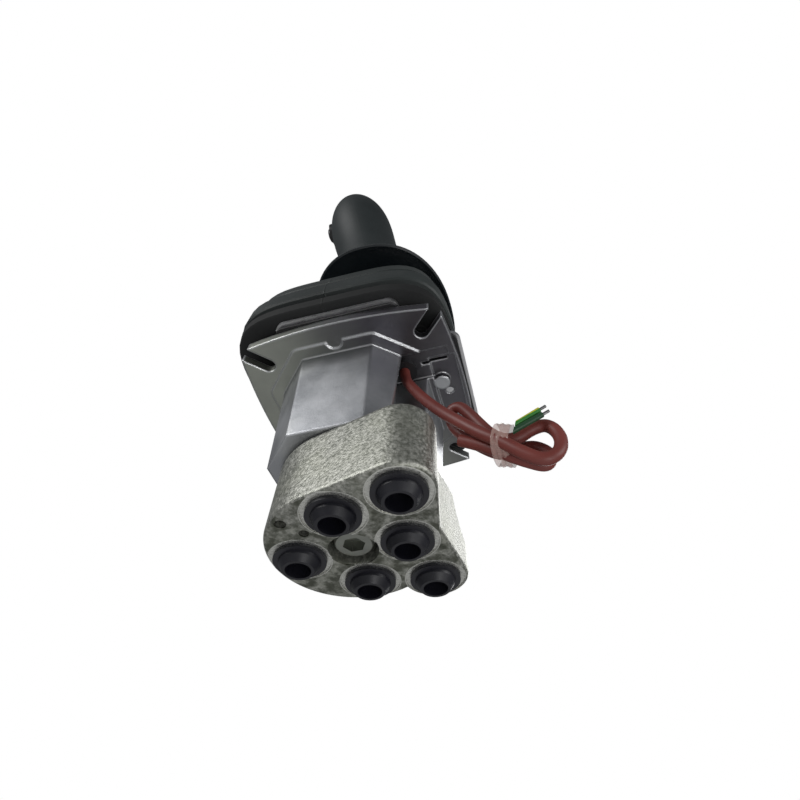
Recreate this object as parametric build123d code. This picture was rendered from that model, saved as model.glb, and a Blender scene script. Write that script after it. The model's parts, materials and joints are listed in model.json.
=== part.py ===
from build123d import *
from math import atan2, cos, degrees, pi, radians, sin, sqrt, tan
import os

# Hydraulic pilot joystick valve: a square-flanged housing with a ported block below, and a
# booted lever with a palm rest and a hand grip above.  Millimetres, +Z along the lever.
# The origin is the centre of the flange's underside, the face that sits on the console panel.
# +X points to the pressure and tank ports and the cable, -Y to the front of the valve.

# ---- driving dimensions ----
# Flange of the upper housing
FLANGE_SIDE = 106.0
FLANGE_THICK = 5.0
FLANGE_SIDE_R = 330.0       # radius of the slightly bowed sides
SLOT_WIDTH = 7.0
SLOT_R = 54.5               # distance of the slots' inner centres from the middle
FLANGE_CORNER_R = 3.0
# Housing neck
NECK_HALF = 38.0
NECK_LEFT_CHAMFER = 17.0
NECK_FRONT_RIGHT = 14.0     # where the front face ends and the chamfer begins
NECK_RIGHT = 35.0
NECK_FILLET = 2.0
NECK_DRAFT = 3.0            # degrees; the neck narrows towards the block
LEDGE_OFFSET = 6.0
LEDGE_HEIGHT = 0.8
NOTCH_X = -3.0              # half-round notch in the front of the ledge
NOTCH_R = 4.0
# Pocket under the flange on the cable side
POCKET_X = 44.5
POCKET_LENGTH = 13.0
POCKET_WIDTH = 46.0
POCKET_DEPTH = 2.0
BOSS_X = 41.5
BOSS_Y = -8.0
BOSS_R = 4.0
BOSS_HEIGHT = 3.5
SLIT_X = 40.5
SLIT_Y = -20.5
SLIT_LENGTH = 13.0
SLIT_WIDTH = 1.6
# Levels of the body
SPLIT_Z = -53.0             # joint between port block and housing
PORT_FACE_Z = -88.0
# Ports
PORT_RADIUS = 22.0          # working ports and plungers, from the middle
MAIN_PORT_X = 26.5
MAIN_PORT_Y = 27.5
PORT_CORE_D = 11.8          # tapping size of a G1/4 thread
PORT_DEPTH = 14.0
SPOT_FACE_D = 25.0
SHOULDER_R = 26.0           # hollow above the tank port's lobe
SHOULDER_CUT = 15.0
SPOT_FACE_DEPTH = 0.6
BLOCK_R = 34.5
LOBE_R = 14.0
BLOCK_EDGE_R = 2.0
BLOCK_TOP_R = 3.5
# Plugs
PLUG_FLANGE_D = 21.0
PLUG_FLANGE_T = 1.7
PLUG_STEP_D = 16.8
PLUG_STEP_T = 1.1
PLUG_TIP_D = 12.6
PLUG_HEIGHT = 5.5           # out of the spot face
PLUG_HOLE_D = 10.2
PLUG_HOLE_DEPTH = 9.0
PLUG_STEM_LENGTH = 8.0
# Centre screw, M10
SCREW_D = 10.0
SCREW_HEAD_D = 16.0
SCREW_HEAD_H = 10.0
SCREW_SINK = 2.7            # head's face below the port face
SCREW_HEX = 8.0
SCREW_HEX_DEPTH = 5.0
SCREW_TOP_Z = -30.0
COUNTERBORE_D = 20.0
# Plungers, guides, spools and springs
PLUNGER_D = 10.0
PLUNGER_TIP_R = 3.0
PLUNGER_GAP = 0.9           # free play under the control disc
PLUNGER_COLLAR_D = 14.0
PLUNGER_COLLAR_H = 3.0
PLUNGER_TAIL = 4.0
RUN_FIT = 0.05              # radial clearance of everything that slides or turns
BUSH_D = 16.0
BUSH_TOP_D = 13.0
BUSH_TOP_Z = 11.5
BUSH_BOTTOM_Z = -12.0
SEAL_WIRE = 1.6
SPOOL_D = 8.0
SPOOL_NECK_D = 5.6
SPOOL_TOP_Z = -38.0
SPOOL_BOTTOM_Z = -71.0
SPOOL_HEAD_D = 11.0
SPOOL_HEAD_H = 2.5
SPRING_SEAT_Z = -58.0
RETURN_WIRE = 1.3
RETURN_TURNS = 6
CONTROL_WIRE = 0.9
CONTROL_TURNS = 4
CONTROL_COIL_R = 2.9
GALLERY_R = 2.5
GALLERY_Z = -67.0
TANK_SHIFT = 2.4            # the tank drilling leans in from its port's axis
# Plates under the boot
GUIDE_PLATE_HALF = 35.0
GUIDE_PLATE_T = 2.0
RETAINER_HALF = 55.0
RETAINER_TONGUE = 30.5      # half the width of each tongue
RETAINER_T = 2.0
RETAINER_CORE = 66.0        # side of the square that joins the tongues
PLATE_SCREW_X = 17.0
PLATE_SCREW_Y = 31.0
PLATE_SCREW_D = 5.0
PLATE_SCREW_LENGTH = 16.0
CLAMP_SCREW_R = 44.0
CLAMP_SCREW_D = 4.0
# Universal joint
PIVOT_Z = 24.0
TILT_DEG = 19.0
STEM_D = 14.0
STEM_BOTTOM_Z = -14.0
BASE_FLANGE_D = 22.0
BASE_FLANGE_T = 3.5
EAR_INNER = 7.5
EAR_THICK = 4.0
EAR_R = 5.0
TRUNNION_D = 6.0
CROSS_HALF = 5.5
FORK_HUB_D = 18.0
FORK_HUB_Z = 36.0           # underside of the lever fork's hub
DISC_D = 56.0
DISC_T = 4.0
DISC_BORE_D = 31.0
DISC_WEB_Z = 40.0
DISC_WEB_T = 3.0
ROD_D = 12.0
ROD_TOP_Z = 124.0
NUT_AF = 19.0
NUT_H = 8.0
# Boot
BOOT_HALF = 59.0
BOOT_CORNER_R = 26.0
BOOT_WALL = 2.0
BOOT_TOP_Z = 52.0           # top of the uppermost fold
BOOT_LIP_HALF = 50.0
BOOT_LIP_IN = 40.0
BOOT_NECK_R = 19.0
BOOT_NECK_Z = 72.0
COLLAR_H = 8.0
CLAMP_T = 1.5
# Palm rest and grip
REST_Z = 76.0
REST_X = 9.0
REST_Y = -4.0
REST_A = 43.0
REST_B = 50.0
REST_T = 3.0
REST_RISE = 15.0
GRIP_TOP_Z = 212.0
BUTTON_Z = 193.0
BUTTON_D = 11.0
BUTTON_PROUD = 3.6
BUTTON_POCKET = 21.0
BEZEL_H = 9.0
# Cable
CABLE_D = 5.0
CABLE_X = 25.0
CABLE_Y = -20.0
GROMMET_D = 10.0
GROMMET_LIP_D = 12.5
RECESS_X = 18.0
RECESS_WIDTH = 16.0
RECESS_LENGTH = 30.0
RECESS_SINK = 0.6           # how far the recess is let into the flange
GROMMET_LIP_H = 3.0
# Hank: the tied waist, the bend on its left and the loops on its right
TIE_X = 66.0
TIE_Y = -25.0
TIE_Z = -72.5
TIE_TURN = 20.0
HANK_TALL = 12.0
HANK_THICK = 16.0
HANK_WAIST = 8.0
BEND_X = 50.5
BEND_Z = -47.5
LOOP_X = 77.0
LOOP_Z = -77.0
LOOP_R = 9.0
TIE_WIDTH = 5.0
TIE_THICK = 0.8
WIRE_D = 2.2
WIRE_Y = -31.7
STRIPPED_LENGTH = 3.0

# ---- places that follow from them ----
plate_z = FLANGE_THICK + GUIDE_PLATE_T                 # underside of the retaining plate
lip_z = plate_z + RETAINER_T                           # where the boot's lip rests
working_ports = [(0, -PORT_RADIUS), (PORT_RADIUS, 0), (0, PORT_RADIUS), (-PORT_RADIUS, 0)]
main_ports = [(MAIN_PORT_X, -MAIN_PORT_Y), (MAIN_PORT_X, MAIN_PORT_Y)]
plate_screws = [(i * PLATE_SCREW_X, j * PLATE_SCREW_Y) for i in (-1, 1) for j in (-1, 1)]
clamp_screws = [(CLAMP_SCREW_R, 0), (0, CLAMP_SCREW_R), (-CLAMP_SCREW_R, 0), (0, -CLAMP_SCREW_R)]
plunger_top = PIVOT_Z - PLUNGER_GAP
plunger_stroke = PORT_RADIUS * tan(radians(TILT_DEG))
collar_top = BUSH_BOTTOM_Z - plunger_stroke - 0.6
collar_bottom = collar_top - PLUNGER_COLLAR_H

UPRIGHT = (Align.CENTER, Align.CENTER, Align.MIN)

parts = {}


def cyl(d, z0, z1, x=0.0, y=0.0):
    """A vertical cylinder of diameter d between two levels."""
    return Pos(x, y, z0) * Cylinder(d / 2, z1 - z0, align=UPRIGHT)


def slab(sketch, z0, z1):
    """A flat sketch made solid between two levels."""
    return extrude(Pos(0, 0, z0) * sketch, amount=z1 - z0)


def turned(points, x=0.0, y=0.0):
    """A solid of revolution about a vertical axis from a closed (radius, level) outline."""
    face = make_face(Polyline([(r, 0, z) for r, z in points], close=True))
    return Pos(x, y, 0) * revolve(face, Axis.Z)


def ring(d_out, d_in, z0, z1, x=0.0, y=0.0):
    return cyl(d_out, z0, z1, x, y) - cyl(d_in, z0, z1, x, y)


def spring(coil_r, wire, z0, z1, turns, x, y):
    """A coil spring of square wire standing between two levels."""
    rise = z1 - z0 - wire
    path = Helix(pitch=rise / turns, height=rise, radius=coil_r)
    section = Plane(origin=path @ 0, z_dir=path % 0, x_dir=(1, 0, 0)) * Rectangle(wire, wire)
    return Pos(x, y, z0 + wire / 2) * sweep(section, path, is_frenet=True)


def bowed_square(side, bow_r, corner_r):
    """A square whose sides bow slightly outwards, with small rounded corners."""
    half = side / 2
    rise = bow_r - sqrt(bow_r ** 2 - half ** 2)
    corner = half - rise
    points = [(corner, corner), (-corner, corner), (-corner, -corner), (corner, -corner)]
    middles = [(0, half), (-half, 0), (0, -half), (half, 0)]
    edges = Curve() + [ThreePointArc(points[i], middles[i], points[(i + 1) % 4]) for i in range(4)]
    face = make_face(edges)
    return fillet(face.vertices(), corner_r)


# ---- lower block ----
def block_outline():
    """Casting outline: a round body drawn out to the pressure and tank port lobes."""
    body = Circle(BLOCK_R)
    front_lobe = Pos(*main_ports[0]) * Circle(LOBE_R)
    rear_lobe = Pos(*main_ports[1]) * Circle(LOBE_R)
    right_lobe = Pos(*working_ports[1]) * Circle(LOBE_R)
    front = make_hull((body.edges() + front_lobe.edges()))
    rear = make_hull((right_lobe.edges() + rear_lobe.edges()))
    return front + rear + body


def port_block():
    block = slab(block_outline(), PORT_FACE_Z, SPLIT_Z)
    rim = block.edges().filter_by_position(Axis.Z, PORT_FACE_Z - 0.1, PORT_FACE_Z + 0.1)
    block = fillet(rim, BLOCK_EDGE_R)
    top = block.edges().filter_by_position(Axis.Z, SPLIT_Z - 0.1, SPLIT_Z + 0.1)
    block = fillet(top, BLOCK_TOP_R)
    # The tank lobe runs out in a hollow shoulder above its port.
    reach = sqrt(MAIN_PORT_X ** 2 + MAIN_PORT_Y ** 2) + LOBE_R
    turn = degrees(atan2(MAIN_PORT_Y, MAIN_PORT_X))
    shoulder = Rot(0, 0, turn) * Pos(reach + SHOULDER_R - SHOULDER_CUT, 0, SPLIT_Z) * Rot(90, 0, 0)
    block -= shoulder * Cylinder(SHOULDER_R, 90)
    bore_top = PORT_FACE_Z + PORT_DEPTH
    for x, y in working_ports + main_ports:
        block -= cyl(SPOT_FACE_D, PORT_FACE_Z - 1, PORT_FACE_Z + SPOT_FACE_DEPTH, x, y)
        block -= cyl(PORT_CORE_D, PORT_FACE_Z, bore_top, x, y)
    for x, y in working_ports:
        block -= cyl(SPOOL_D + 2 * RUN_FIT, bore_top - 1, SPLIT_Z, x, y)
        block -= cyl(BUSH_D, SPRING_SEAT_Z, SPLIT_Z + 1, x, y)
    for x, y in main_ports:
        block -= cyl(2 * GALLERY_R, bore_top - 1, GALLERY_Z, x, y)
    # Drilled galleries join the pressure port to the four spools.
    run = [main_ports[0], working_ports[0], working_ports[3], working_ports[2], working_ports[1]]
    for a, b in zip(run, run[1:]):
        length = sqrt((b[0] - a[0]) ** 2 + (b[1] - a[1]) ** 2)
        place = Pos((a[0] + b[0]) / 2, (a[1] + b[1]) / 2, GALLERY_Z)
        turn = degrees(atan2(b[1] - a[1], b[0] - a[0]))
        block -= place * Rot(0, 0, turn) * Rot(0, 90, 0) * Cylinder(GALLERY_R, length)
    # Tank oil returns from the spring chambers down to its own port.
    tank_x, tank_y = MAIN_PORT_X - TANK_SHIFT, MAIN_PORT_Y - TANK_SHIFT
    block -= cyl(2 * GALLERY_R, bore_top - 1, SPLIT_Z - 8, tank_x, tank_y)
    middle = Pos((tank_x + PORT_RADIUS) / 2, tank_y / 2, SPLIT_Z - 8)
    turn = degrees(atan2(tank_y, tank_x - PORT_RADIUS))
    link = sqrt(tank_y ** 2 + (tank_x - PORT_RADIUS) ** 2)
    block -= middle * Rot(0, 0, turn) * Rot(0, 90, 0) * Cylinder(GALLERY_R, link)
    block -= cyl(COUNTERBORE_D, PORT_FACE_Z - 1, PORT_FACE_Z + SCREW_SINK + SCREW_HEAD_H)
    block -= cyl(SCREW_D + 0.8, PORT_FACE_Z, SPLIT_Z + 1)
    # Two small locating holes beside the front port.
    block -= cyl(4.6, PORT_FACE_Z - 1, PORT_FACE_Z + 6, -20.5, -22.5)
    block -= cyl(4.0, PORT_FACE_Z - 1, PORT_FACE_Z + 6, -14.2, -15.2)
    return block


def port_plug(x, y):
    seat = PORT_FACE_Z + SPOT_FACE_DEPTH
    low = seat - PLUG_HEIGHT
    stem_r = PORT_CORE_D / 2 - 0.1
    plug = turned([(0, seat + PLUG_STEM_LENGTH), (stem_r - 0.8, seat + PLUG_STEM_LENGTH),
                   (stem_r, seat + PLUG_STEM_LENGTH - 1.5), (stem_r, seat),
                   (PLUG_FLANGE_D / 2, seat), (PLUG_FLANGE_D / 2, seat - PLUG_FLANGE_T),
                   (PLUG_STEP_D / 2, seat - PLUG_FLANGE_T),
                   (PLUG_STEP_D / 2 - 0.3, seat - PLUG_FLANGE_T - PLUG_STEP_T),
                   (PLUG_TIP_D / 2, low), (0, low)], x, y)
    return plug - cyl(PLUG_HOLE_D, low - 1, low + PLUG_HOLE_DEPTH, x, y)


def centre_screw():
    low = PORT_FACE_Z + SCREW_SINK
    head_top = low + SCREW_HEAD_H
    screw = chamfer(cyl(SCREW_HEAD_D, low, head_top).edges().group_by(Axis.Z)[0], 0.8)
    screw += cyl(SCREW_D, head_top, SCREW_TOP_Z)
    socket = RegularPolygon(SCREW_HEX / 2, 6, major_radius=False)
    return screw - slab(socket, low - 1, low + SCREW_HEX_DEPTH)


# ---- upper housing ----
def neck_outline():
    n, c, f = NECK_HALF, NECK_LEFT_CHAMFER, NECK_FRONT_RIGHT
    slant = 13.0
    return make_face(Polyline([(c - n, -n), (f, -n), (f + slant, -n + 11), (NECK_RIGHT, -n + 18),
                               (NECK_RIGHT, n - 14), (f, n), (c - n, n), (-n, n - c), (-n, c - n)],
                              close=True))


def upper_housing():
    flange = slab(bowed_square(FLANGE_SIDE, FLANGE_SIDE_R, FLANGE_CORNER_R), 0, FLANGE_THICK)
    outline = neck_outline()
    outline = fillet(outline.vertices(), NECK_FILLET)
    neck = extrude(outline, amount=-SPLIT_Z, dir=(0, 0, -1), taper=NECK_DRAFT)
    ledge = slab(offset(neck_outline(), LEDGE_OFFSET), -LEDGE_HEIGHT, 0.01)
    ledge -= Pos(NOTCH_X, -NECK_HALF - LEDGE_OFFSET, 0) * Cylinder(NOTCH_R, 12)
    housing = flange + neck + ledge
    for k in range(4):
        slot = Pos(SLOT_R + 20, 0, FLANGE_THICK / 2) * Box(40, SLOT_WIDTH, 20)
        slot += Pos(SLOT_R, 0, FLANGE_THICK / 2) * Cylinder(SLOT_WIDTH / 2, 20)
        housing -= Rot(0, 0, 45 + 90 * k) * slot
    # Cable recess in the right-hand corner of the neck, and the cable's hole in the flange.
    recess_height = RECESS_SINK - SPLIT_Z + 1
    recess = Box(RECESS_LENGTH, RECESS_WIDTH, recess_height, align=(Align.MIN, Align.CENTER, Align.MAX))
    housing -= Pos(RECESS_X, CABLE_Y, RECESS_SINK) * recess
    housing -= cyl(GROMMET_D, -1, FLANGE_THICK + 1, CABLE_X, CABLE_Y)
    # Shallow pocket under the flange on the cable side, with a drain slit and a cast boss.
    housing -= Pos(POCKET_X, 0, 0) * Box(POCKET_LENGTH, POCKET_WIDTH, 2 * POCKET_DEPTH)
    housing += cyl(2 * BOSS_R, POCKET_DEPTH - BOSS_HEIGHT, POCKET_DEPTH, BOSS_X, BOSS_Y)
    housing -= Pos(SLIT_X, SLIT_Y, 0) * Box(SLIT_LENGTH, SLIT_WIDTH, 3 * FLANGE_THICK)
    for x, y in working_ports:
        housing -= cyl(BUSH_D, SPLIT_Z - 1, FLANGE_THICK + 1, x, y)
        housing -= ring(BUSH_D + 5.4, BUSH_D + 1.0, SPLIT_Z - 1, SPLIT_Z + SEAL_WIRE, x, y)
    housing -= cyl(SCREW_D, SPLIT_Z - 1, SCREW_TOP_Z + 3)
    housing -= cyl(STEM_D, STEM_BOTTOM_Z - 2, FLANGE_THICK + 1)
    for x, y in plate_screws:
        hole_bottom = lip_z - PLATE_SCREW_LENGTH - 2
        housing -= cyl(PLATE_SCREW_D, hole_bottom, FLANGE_THICK + 1, x, y)
    for x, y in clamp_screws:
        housing -= cyl(CLAMP_SCREW_D, 1, FLANGE_THICK + 1, x, y)
    return housing


def joint_seals():
    """O-rings that close the spring chambers where block and housing meet."""
    wire_r = SEAL_WIRE / 2
    seal_r = (BUSH_D + 5.4 + BUSH_D + 1.0) / 4
    return Compound([Pos(x, y, SPLIT_Z + wire_r) * Torus(seal_r, wire_r - 0.02)
                     for x, y in working_ports])


# ---- plungers and spools ----
def plunger_guide(x, y):
    groove = SEAL_WIRE
    r, top_r = BUSH_D / 2, BUSH_TOP_D / 2
    bush = turned([(PLUNGER_D / 2 + RUN_FIT, BUSH_BOTTOM_Z), (r, BUSH_BOTTOM_Z),
                   (r, -6 - groove), (r - groove, -6 - groove), (r - groove, -6), (r, -6),
                   (r, FLANGE_THICK), (top_r, FLANGE_THICK), (top_r, BUSH_TOP_Z - 1),
                   (top_r - 1, BUSH_TOP_Z), (PLUNGER_D / 2 + RUN_FIT, BUSH_TOP_Z)], x, y)
    return bush


def guide_seals():
    wire_r = SEAL_WIRE / 2
    return Compound([Pos(x, y, -6 - wire_r) * Torus(BUSH_D / 2 - wire_r - 0.02, wire_r - 0.03)
                     for x, y in working_ports])


def plunger(x, y):
    r, tip = PLUNGER_D / 2, PLUNGER_TIP_R
    tail = collar_bottom - PLUNGER_TAIL
    outline = Polyline((0, 0, tail), (SPOOL_D / 2, 0, tail), (SPOOL_D / 2, 0, collar_bottom),
                       (PLUNGER_COLLAR_D / 2, 0, collar_bottom), (PLUNGER_COLLAR_D / 2, 0, collar_top),
                       (r, 0, collar_top), (r, 0, plunger_top - 5), (tip, 0, plunger_top - tip))
    dome = ThreePointArc((tip, 0, plunger_top - tip),
                         (tip * sin(pi / 4), 0, plunger_top - tip + tip * cos(pi / 4)),
                         (0, 0, plunger_top))
    axis_line = Line((0, 0, plunger_top), (0, 0, tail))
    return Pos(x, y, 0) * revolve(make_face(Curve() + [outline, dome, axis_line]), Axis.Z)


def control_spool(x, y):
    r, neck = SPOOL_D / 2, SPOOL_NECK_D / 2
    head = SPOOL_HEAD_D / 2
    z0, z1 = SPOOL_BOTTOM_Z, SPOOL_TOP_Z
    return turned([(0, z0), (r - 0.5, z0), (r, z0 + 0.5), (r, z0 + 2.5), (neck, z0 + 2.5),
                   (neck, z0 + 6), (r, z0 + 6), (r, z0 + 12.5), (neck, z0 + 12.5),
                   (neck, z1 - SPOOL_HEAD_H), (head, z1 - SPOOL_HEAD_H), (head, z1), (0, z1)], x, y)


def return_spring(x, y):
    coil_r = PLUNGER_COLLAR_D / 2 - RETURN_WIRE / 2
    return spring(coil_r, RETURN_WIRE, SPRING_SEAT_Z, collar_bottom, RETURN_TURNS, x, y)


def control_spring(x, y):
    bottom = SPOOL_TOP_Z
    top = collar_bottom - PLUNGER_TAIL
    return spring(CONTROL_COIL_R, CONTROL_WIRE, bottom, top, CONTROL_TURNS, x, y)


# ---- plates and joint ----
def guide_plate():
    plate = slab(RectangleRounded(2 * GUIDE_PLATE_HALF, 2 * GUIDE_PLATE_HALF, 4),
                 FLANGE_THICK, plate_z)
    for x, y in working_ports:
        plate -= cyl(BUSH_TOP_D + 0.2, FLANGE_THICK - 1, plate_z + 1, x, y)
    for x, y in plate_screws:
        plate -= cyl(PLATE_SCREW_D + 0.4, FLANGE_THICK - 1, plate_z + 1, x, y)
    plate -= cyl(STEM_D + 0.4, FLANGE_THICK - 1, plate_z + 1)
    return plate - cyl(GROMMET_D + 3.4, FLANGE_THICK - 1, plate_z + 1, CABLE_X, CABLE_Y)


def boot_gasket():
    """Rubber frame between the flange and the retaining plate."""
    outline = RectangleRounded(2 * RETAINER_HALF - 3, 2 * RETAINER_TONGUE + 1, 5)
    outline += RectangleRounded(2 * RETAINER_TONGUE + 1, 2 * RETAINER_HALF - 3, 5)
    gasket = slab(outline - RectangleRounded(2 * GUIDE_PLATE_HALF + 0.6, 2 * GUIDE_PLATE_HALF + 0.6, 4),
                  FLANGE_THICK, plate_z)
    for x, y in clamp_screws:
        gasket -= cyl(CLAMP_SCREW_D + 0.4, FLANGE_THICK - 1, plate_z + 1, x, y)
    return gasket


def retaining_plate():
    span, tongue = 2 * RETAINER_HALF, 2 * RETAINER_TONGUE
    outline = RectangleRounded(span, tongue, 5) + RectangleRounded(tongue, span, 5)
    plate = slab(outline + Rectangle(RETAINER_CORE, RETAINER_CORE), plate_z, lip_z)
    for x, y in working_ports:
        plate -= cyl(BUSH_TOP_D + 0.4, plate_z - 1, lip_z + 1, x, y)
    for x, y in plate_screws:
        plate -= cyl(PLATE_SCREW_D + 0.4, plate_z - 1, lip_z + 1, x, y)
    for x, y in clamp_screws:
        plate -= cyl(CLAMP_SCREW_D + 0.4, plate_z - 1, lip_z + 1, x, y)
    plate -= cyl(STEM_D + 0.4, plate_z - 1, lip_z + 1)
    return plate - cyl(GROMMET_D + 3.4, plate_z - 1, lip_z + 1, CABLE_X, CABLE_Y)


def cap_screw(d, length, z_seat, x, y):
    """A socket cap screw that hangs down from its seat, with its head above."""
    head_d, head_h = 1.7 * d, 0.8 * d
    screw = cyl(head_d, z_seat, z_seat + head_h, x, y) + cyl(d, z_seat - length, z_seat, x, y)
    socket = Pos(x, y) * RegularPolygon(0.4 * d, 6, major_radius=False)
    return screw - slab(socket, z_seat + head_h - 0.5 * d, z_seat + head_h + 1)


def ears(inner, thick, r, z_low, z_top):
    """Two parallel ears, square below their eye and round above or below it."""
    pair = []
    for side in (-1, 1):
        centre = side * (inner + thick / 2)
        eye = Pos(centre, 0, PIVOT_Z) * Rot(0, 90, 0) * Cylinder(r, thick)
        web_mid = (z_low + z_top) / 2
        web = Pos(centre, 0, web_mid) * Box(thick, 2 * r, z_top - z_low)
        hole = Pos(centre, 0, PIVOT_Z) * Rot(0, 90, 0) * Cylinder(TRUNNION_D / 2 + RUN_FIT, thick + 2)
        pair.append((eye + web) - hole)
    return pair[0] + pair[1]


def joint_base():
    flange_top = lip_z + BASE_FLANGE_T
    base = cyl(STEM_D, STEM_BOTTOM_Z, lip_z) + cyl(BASE_FLANGE_D, lip_z, flange_top)
    base += ears(EAR_INNER, EAR_THICK, EAR_R, flange_top - 0.5, PIVOT_Z)
    outer = EAR_INNER + EAR_THICK
    base += Pos(0, 0, flange_top + 0.5) * Box(2 * outer, 2 * EAR_R, 2)
    return base & Cylinder(outer + 0.5, 120)


def joint_cross():
    block = chamfer(Box(2 * CROSS_HALF, 2 * CROSS_HALF, 2 * CROSS_HALF).edges(), 0.8)
    reach = EAR_INNER + EAR_THICK
    shoulder = EAR_INNER - 0.1
    for turn in (Rot(0, 90, 0), Rot(90, 0, 0)):
        block += turn * Cylinder(TRUNNION_D / 2, 2 * reach)
        block += turn * Cylinder(TRUNNION_D / 2 + 1.2, 2 * shoulder)
    return Pos(0, 0, PIVOT_Z) * block


def joint_fork():
    hub_top = DISC_WEB_Z
    pair = Rot(0, 0, 90) * ears(EAR_INNER, EAR_THICK, EAR_R, PIVOT_Z, FORK_HUB_Z + 0.5)
    hub = cyl(FORK_HUB_D, FORK_HUB_Z, hub_top) + Pos(0, 0, FORK_HUB_Z + 1) * Box(10, 23, 2)
    return pair + hub - cyl(ROD_D, hub_top - 2.5, hub_top + 1)


def control_disc():
    r, bore = DISC_D / 2, DISC_BORE_D / 2
    web_top = DISC_WEB_Z + DISC_WEB_T
    return turned([(bore, PIVOT_Z), (r, PIVOT_Z), (r, PIVOT_Z + DISC_T), (bore + 4, PIVOT_Z + DISC_T),
                   (bore + 2.5, DISC_WEB_Z - 3), (bore - 2, web_top), (ROD_D / 2, web_top),
                   (ROD_D / 2, DISC_WEB_Z), (FORK_HUB_D / 2 + 2.5, DISC_WEB_Z),
                   (bore, DISC_WEB_Z - 4)])


def lock_nut():
    low = DISC_WEB_Z + DISC_WEB_T
    nut = slab(RegularPolygon(NUT_AF / 2, 6, major_radius=False), low, low + NUT_H)
    rounding = turned([(0, low), (NUT_AF / 2 + 0.2, low), (NUT_AF / 2 + 2, low + 1),
                       (NUT_AF / 2 + 2, low + NUT_H - 1), (NUT_AF / 2 + 0.2, low + NUT_H),
                       (0, low + NUT_H)])
    return (nut & rounding) - cyl(ROD_D, low - 1, low + NUT_H + 1)


def lever_rod():
    rod = cyl(ROD_D, DISC_WEB_Z - 2.5, ROD_TOP_Z)
    return chamfer(rod.edges().group_by(Axis.Z)[-1], 1)


# ---- boot ----
def rounded(half, z, corner_r=BOOT_CORNER_R):
    return Pos(0, 0, z) * RectangleRounded(2 * half, 2 * half, min(corner_r, half - 0.5))


def fold_stack(shrink):
    """The boot's outer or inner form: a stack of rounded folds closing in to the lever."""
    low = lip_z + (0 if shrink == 0 else BOOT_WALL)
    levels = [(BOOT_HALF - 6, low), (BOOT_HALF, 12.5), (BOOT_HALF, 18.5), (BOOT_HALF - 3, 20.5),
              (BOOT_HALF, 22.5), (BOOT_HALF, 34), (BOOT_HALF - 3.5, 36),
              (BOOT_HALF - 2, 38), (BOOT_HALF - 3, BOOT_TOP_Z - 4), (BOOT_HALF - 9, BOOT_TOP_Z)]
    form = None
    for (h0, z0), (h1, z1) in zip(levels, levels[1:]):
        step = loft([rounded(h0 - shrink, z0), rounded(h1 - shrink, z1)], ruled=True)
        form = step if form is None else form + step
    return form


def boot_neck(shrink):
    """The roof of the boot: from the top fold up to the round collar on the lever."""
    z0 = BOOT_TOP_Z - (0 if shrink == 0 else BOOT_WALL)
    roof = loft([rounded(BOOT_HALF - 9 - shrink, z0),
                 Pos(0, 0, BOOT_NECK_Z - COLLAR_H - shrink) * RectangleRounded(
                     2 * (BOOT_NECK_R + 4 - shrink), 2 * (BOOT_NECK_R + 4 - shrink),
                     BOOT_NECK_R + 3.9 - shrink)], ruled=True)
    return roof


def bellows():
    shell = fold_stack(0) + boot_neck(0)
    hollow = fold_stack(BOOT_WALL) + boot_neck(BOOT_WALL)
    shell -= hollow
    shell += cyl(2 * BOOT_NECK_R + 8, BOOT_NECK_Z - COLLAR_H - BOOT_WALL, BOOT_NECK_Z)
    shell -= cyl(2 * BOOT_NECK_R + 0.6, 20, BOOT_NECK_Z + 1)
    shell -= slab(RectangleRounded(2 * BOOT_LIP_IN, 2 * BOOT_LIP_IN, 6), lip_z - 1, lip_z + 5)
    for x, y in clamp_screws:
        shell -= cyl(CLAMP_SCREW_D + 0.4, lip_z - 1, lip_z + 5, x, y)
    return shell


def boot_clamp():
    low = lip_z + BOOT_WALL
    side = 2 * BOOT_LIP_HALF - 4
    frame = RectangleRounded(side, side, BOOT_CORNER_R - 4)
    frame -= RectangleRounded(2 * BOOT_LIP_IN, 2 * BOOT_LIP_IN, 6)
    clamp = slab(frame, low, low + CLAMP_T)
    for x, y in clamp_screws:
        clamp -= cyl(CLAMP_SCREW_D + 0.4, low - 1, low + CLAMP_T + 1, x, y)
    return clamp


def boot_collar():
    """Plastic sleeve that carries the boot's neck on the lever rod."""
    low = BOOT_NECK_Z - COLLAR_H - 4
    return turned([(ROD_D / 2, low), (BOOT_NECK_R - 6, low), (BOOT_NECK_R, low + 4),
                   (BOOT_NECK_R, BOOT_NECK_Z), (BOOT_NECK_R + 3, BOOT_NECK_Z + 0.3),
                   (BOOT_NECK_R + 3, BOOT_NECK_Z + 2), (ROD_D / 2, BOOT_NECK_Z + 2)])


# ---- palm rest and grip ----
def rest_form(shrink):
    drop = REST_T if shrink else 0.0
    sections = [(REST_A, REST_B, -0.01), (REST_A - 2, REST_B - 2, 4), (REST_A - 9, REST_B - 10, 10),
                (REST_A - 20, REST_B - 23, REST_RISE)]
    faces = [Pos(REST_X - 5 * h / REST_RISE, REST_Y, REST_Z + h - drop)
             * Ellipse(a - shrink, b - shrink) for a, b, h in sections]
    return loft(faces, ruled=False)


def hand_rest():
    rest = rest_form(0) - rest_form(REST_T)
    floor_z = REST_Z
    rest &= Pos(REST_X, REST_Y, floor_z + 30) * Box(3 * REST_A, 3 * REST_B, 60)
    boss_low = BOOT_NECK_Z + 2
    rest += cyl(26, boss_low, REST_Z + REST_RISE - REST_T + 1)
    return rest - cyl(ROD_D, boss_low - 1, GRIP_TOP_Z)


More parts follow.
